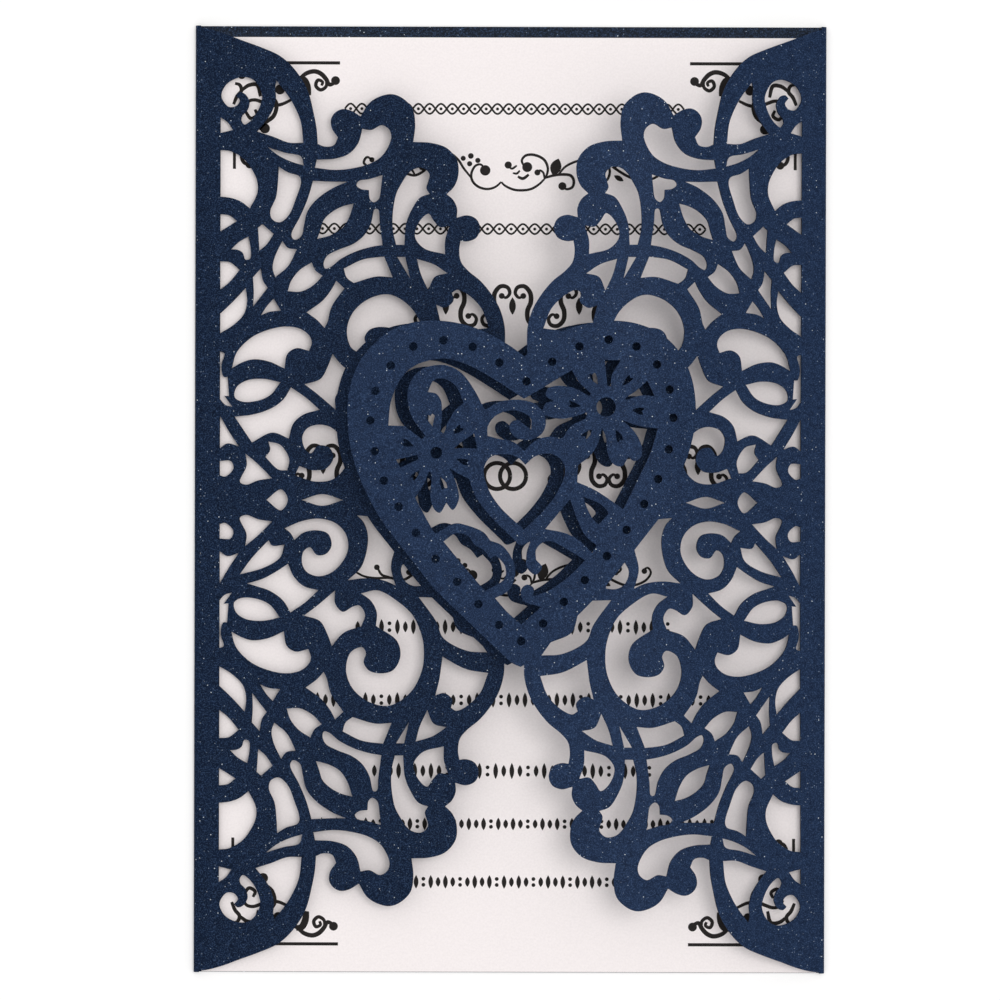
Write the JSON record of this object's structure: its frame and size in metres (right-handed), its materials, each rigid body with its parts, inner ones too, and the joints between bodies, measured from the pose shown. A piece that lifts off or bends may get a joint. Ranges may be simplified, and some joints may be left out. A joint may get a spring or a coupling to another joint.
{
  "type": "gatefold invitation card",
  "caption": "Navy laser-cut gatefold wrap with lace flaps that end in overlapping hearts, folded over a loose white insert card.",
  "frame": {"origin": "centre of the card's back face, which lies on the table", "axes": "+X to the reader's right, +Y up the card's long side, +Z out of the front towards the reader"},
  "size_m": [0.12, 0.18, 0.0148],
  "materials": {
    "navy_pearl": "pearl cardstock",
    "white_pearl": "pearl cardstock"
  },
  "bodies": {
    "root": {"gatefold_wrap": "navy_pearl", "insert_card": "white_pearl"}
  },
  "joints": []
}
